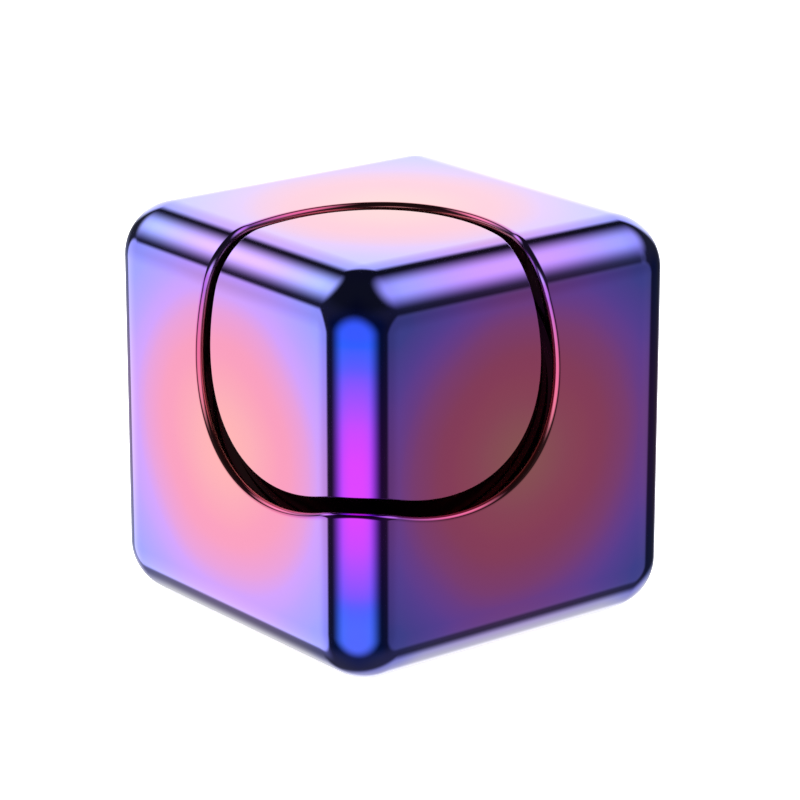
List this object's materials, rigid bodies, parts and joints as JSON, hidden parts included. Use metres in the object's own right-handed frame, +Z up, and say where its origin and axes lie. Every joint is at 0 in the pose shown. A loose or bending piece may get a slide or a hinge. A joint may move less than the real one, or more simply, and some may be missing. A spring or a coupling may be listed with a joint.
{
  "type": "spinning cube desk toy",
  "caption": "Rounded metal cube whose middle body spins on a ball bearing about the corner-to-corner diagonal between two pinched corner caps.",
  "frame": {"origin": "centre of the flat bottom face", "axes": "+Z up through the top face; the spin axis is the corner-to-corner diagonal from the bottom -X +Y corner to the top +X -Y corner"},
  "size_m": [0.03, 0.03, 0.03],
  "materials": {
    "body_plating": "polished",
    "cap_plating": "polished",
    "bearing_steel": "polished",
    "cage_brass": "satin",
    "shield_steel": "satin",
    "spring_steel": "satin",
    "shaft_steel": "gloss"
  },
  "bodies": {
    "body": {"cube_body": "body_plating", "bearing_outer_race": "bearing_steel", "front_bearing_shield": "shield_steel", "rear_bearing_shield": "shield_steel", "front_shield_clip": "spring_steel", "rear_shield_clip": "spring_steel", "bearing_circlip": "spring_steel"},
    "spindle": {"front_corner_cap": "cap_plating", "rear_corner_cap": "cap_plating", "bearing_inner_race": "bearing_steel", "axle_sleeve": "shaft_steel", "axle_stud": "shaft_steel", "front_spacer_washer": "shaft_steel", "rear_spacer_washer": "shaft_steel"},
    "cage": {"bearing_cage": "cage_brass", "bearing_ball_01": "bearing_steel", "bearing_ball_02": "bearing_steel", "bearing_ball_03": "bearing_steel", "bearing_ball_04": "bearing_steel", "bearing_ball_05": "bearing_steel", "bearing_ball_06": "bearing_steel", "bearing_ball_07": "bearing_steel", "bearing_ball_08": "bearing_steel", "bearing_ball_09": "bearing_steel", "bearing_ball_10": "bearing_steel"}
  },
  "joints": [
    {"name": "spindle_spin", "type": "hinge", "parent": "body", "child": "spindle", "pos_m": [0, 0, 0.015], "axis": [0.5774, -0.5774, 0.5774], "continuous": true},
    {"name": "cage_orbit", "type": "hinge", "parent": "body", "child": "cage", "pos_m": [0, 0, 0.015], "axis": [0.5774, -0.5774, 0.5774], "continuous": true}
  ],
  "couplings": [
    {"joint": "cage_orbit", "follows": "spindle_spin", "ratio": 0.41664}
  ]
}
